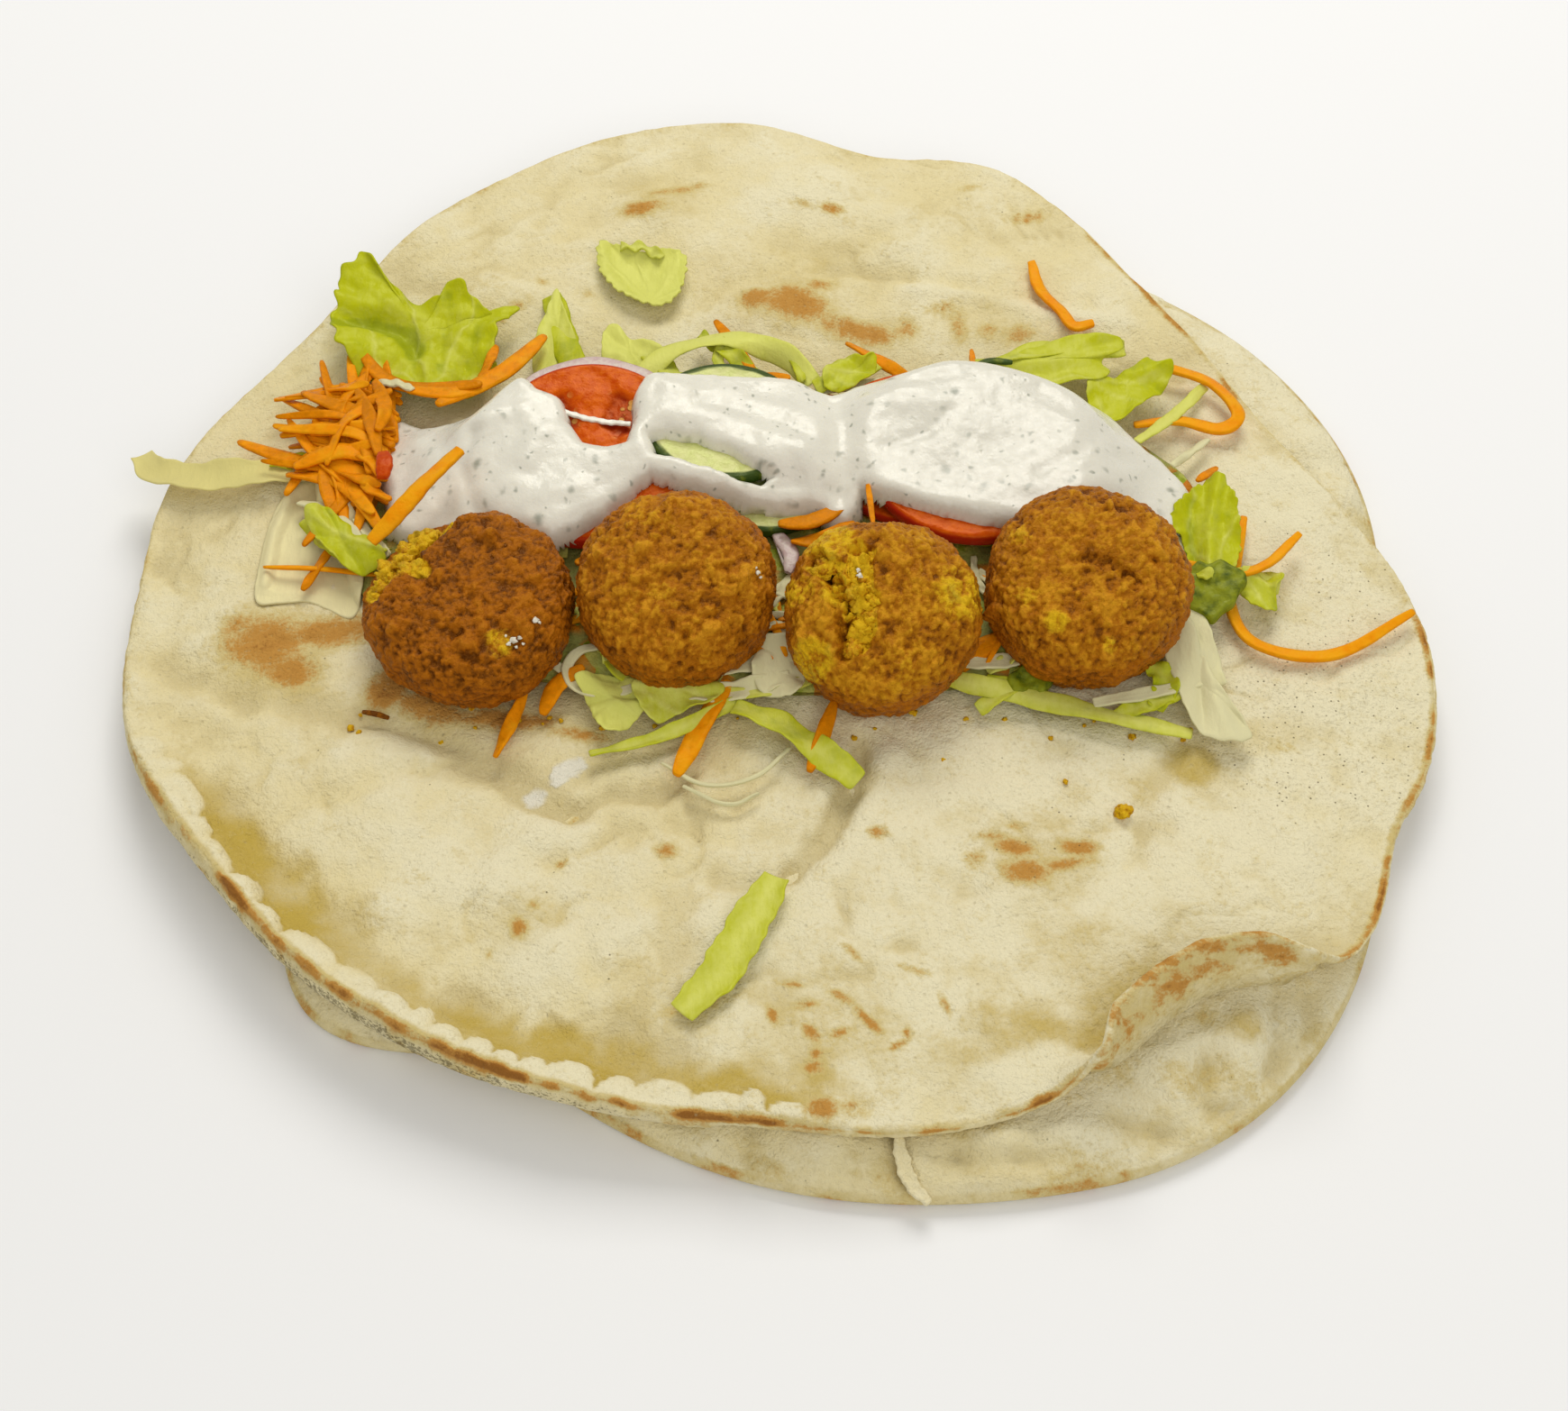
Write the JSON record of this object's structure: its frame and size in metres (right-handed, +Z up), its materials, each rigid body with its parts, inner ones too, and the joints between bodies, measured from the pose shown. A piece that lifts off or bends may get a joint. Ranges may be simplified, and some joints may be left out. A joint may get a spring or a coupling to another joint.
{
  "type": "open falafel wrap",
  "caption": "Open flatbread wrap with a row of falafels, shredded salad, tomato, cucumber and onion slices, and yogurt sauce, lying on a second flatbread.",
  "frame": {"origin": "on the flat underside of the lower bread, below the middle of the bread", "axes": "+Z up, +X along the heap of salad to the viewer's right, -Y towards the side with the falafels"},
  "size_m": [0.3065, 0.3169, 0.046],
  "materials": {
    "bread": "matt baked flatbread with flour dust, blisters and scorch marks",
    "falafel_crust": "craggy fried crust, brown with golden spots",
    "tomato": "wet sliced tomato with darker skin",
    "cucumber": "wet pale green flesh with dark green skin",
    "onion": "wet pale pink and white onion",
    "carrot": "moist orange carrot shreds",
    "lettuce": "moist yellow-green leaf with pale ribs",
    "pale_lettuce": "pale translucent inner leaf and white cabbage",
    "sauce": "glossy white yogurt sauce with fine green herbs"
  },
  "bodies": {
    "root": {"bread_lower": "bread", "bread_upper": "bread", "falafel_1": "falafel_crust", "falafel_2": "falafel_crust", "falafel_3": "falafel_crust", "falafel_4": "falafel_crust", "tomato_slice_left": "tomato", "tomato_slice_right": "tomato", "tomato_slice_back": "tomato", "cucumber_slice_back": "cucumber", "cucumber_slice_front": "cucumber", "cucumber_piece_right": "cucumber", "cucumber_piece_low": "cucumber", "onion_ring_left": "onion", "onion_piece_middle": "onion", "carrot_shred_on_sauce": "carrot", "carrot_shred_back": "carrot", "carrot_curl_back": "carrot", "carrot_curl_right": "carrot", "carrot_shred_right": "carrot", "carrot_bundle_left": "carrot", "lettuce_leaf_left": "lettuce", "lettuce_leaf_back": "lettuce", "lettuce_leaf_right": "lettuce", "lettuce_strip_front": "lettuce", "lettuce_strip_left": "pale_lettuce", "pale_leaf_left": "pale_lettuce", "salad_heap": "pale_lettuce", "yogurt_sauce": "sauce"}
  },
  "joints": []
}
